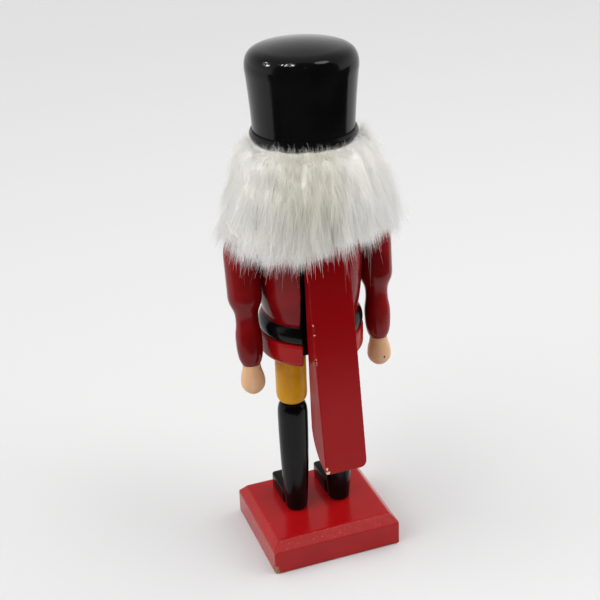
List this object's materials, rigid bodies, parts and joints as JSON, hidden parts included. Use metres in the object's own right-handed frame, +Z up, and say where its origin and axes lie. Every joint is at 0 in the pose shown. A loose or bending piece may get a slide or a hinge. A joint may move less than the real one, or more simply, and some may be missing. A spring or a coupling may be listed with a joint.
{
  "type": "wooden nutcracker figure",
  "caption": "Standing turned-wood soldier nutcracker with a tall hat, white fur hair and beard, and a rear lever that swings the jaw open.",
  "frame": {"origin": "middle of the plinth's underside, on the surface that the figure stands on", "axes": "+Z up; the figure faces -Y, so the lever is on the +Y side; +X is the figure's left"},
  "size_m": [0.099, 0.0995, 0.3022],
  "materials": {
    "satin_red_paint": "satin red paint with brush marks and worn edges",
    "gloss_red_paint": "gloss dark red lacquer",
    "gloss_black_paint": "gloss black lacquer",
    "gloss_yellow_paint": "gloss mustard yellow lacquer",
    "flesh_paint": "satin flesh paint",
    "pale_wood": "clear-varnished pale wood",
    "bare_wood": "bare wood",
    "pin_steel": "plain steel wire pin",
    "white_fur": "long-pile white craft fur"
  },
  "bodies": {
    "figure": {"plinth": "satin_red_paint", "left_shoe": "gloss_black_paint", "right_shoe": "gloss_black_paint", "left_boot": "gloss_black_paint", "right_boot": "gloss_black_paint", "left_thigh": "gloss_yellow_paint", "right_thigh": "gloss_yellow_paint", "left_leg_dowel": "bare_wood", "right_leg_dowel": "bare_wood", "torso": "gloss_red_paint", "pivot_pin": "pin_steel", "left_neck_dowel": "bare_wood", "right_neck_dowel": "bare_wood", "head": "flesh_paint", "nose": "flesh_paint", "hair": "white_fur", "hat": "gloss_black_paint", "hat_dowel": "bare_wood", "left_sleeve": "gloss_red_paint", "right_sleeve": "gloss_red_paint", "left_hand": "pale_wood", "right_hand": "pale_wood", "left_shoulder_dowel": "bare_wood", "right_shoulder_dowel": "bare_wood"},
    "jaw_lever": {"lever": "satin_red_paint", "jaw": "flesh_paint", "jaw_dowel": "bare_wood", "beard": "white_fur"}
  },
  "joints": [
    {"name": "jaw_swing", "type": "hinge", "parent": "figure", "child": "jaw_lever", "pos_m": [0, 0, 0.197], "axis": [1, 0, 0], "range_deg": [0, 22]}
  ]
}
